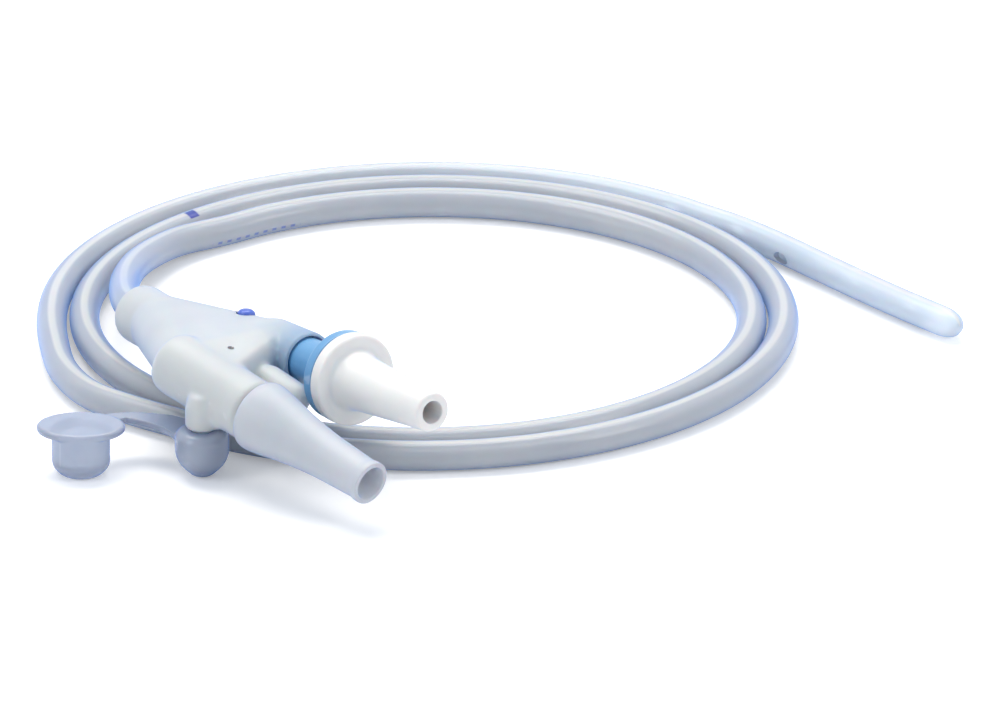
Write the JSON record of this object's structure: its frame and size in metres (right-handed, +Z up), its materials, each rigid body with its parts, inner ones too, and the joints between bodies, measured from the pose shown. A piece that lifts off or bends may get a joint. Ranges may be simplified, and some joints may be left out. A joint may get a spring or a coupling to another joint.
{
  "type": "gastric sump tube",
  "caption": "Coiled double-lumen gastric tube with a rounded eyed tip, a frosted Y port, a conical suction adapter, an anti-reflux valve and a captive plug.",
  "frame": {"origin": "middle of the whole part's bounding box, at the floor that it lies on", "axes": "+Z up, +X to the right of the picture, towards the tube's tip, +Y away from the camera"},
  "size_m": [0.1852, 0.1722, 0.0282],
  "materials": {
    "clear_tube": "clear, glossy, bluish",
    "frosted_port": "frosted",
    "blue_mark": "satin",
    "frosted_adapter": "frosted",
    "blue_plastic": "satin",
    "white_plastic": "satin",
    "silicone": "matt",
    "membrane": "matt",
    "clear_strap": "clear, glossy, bluish"
  },
  "bodies": {
    "tube_and_port": {"sump_tube": "clear_tube", "y_port": "frosted_port", "vent_mark": "blue_mark"},
    "adapter": {"suction_adapter": "frosted_adapter"},
    "valve": {"valve_blue_half": "blue_plastic", "valve_white_half": "white_plastic", "duckbill_valve": "silicone", "filter_disc": "membrane"},
    "strap": {"plug_strap": "clear_strap"}
  },
  "joints": [
    {"name": "adapter_pull", "type": "slide", "parent": "tube_and_port", "child": "adapter", "axis": [0.6939, -0.7039, -0.152], "range_m": [0, 0.014]},
    {"name": "valve_pull", "type": "slide", "parent": "tube_and_port", "child": "valve", "axis": [0.5799, -0.8089, 0.097], "range_m": [0, 0.014]},
    {"name": "strap_swivel", "type": "hinge", "parent": "tube_and_port", "child": "strap", "pos_m": [-0.05899, -0.05667, 0.005], "axis": [0, 0, 1], "range_deg": [-15, 90]}
  ]
}
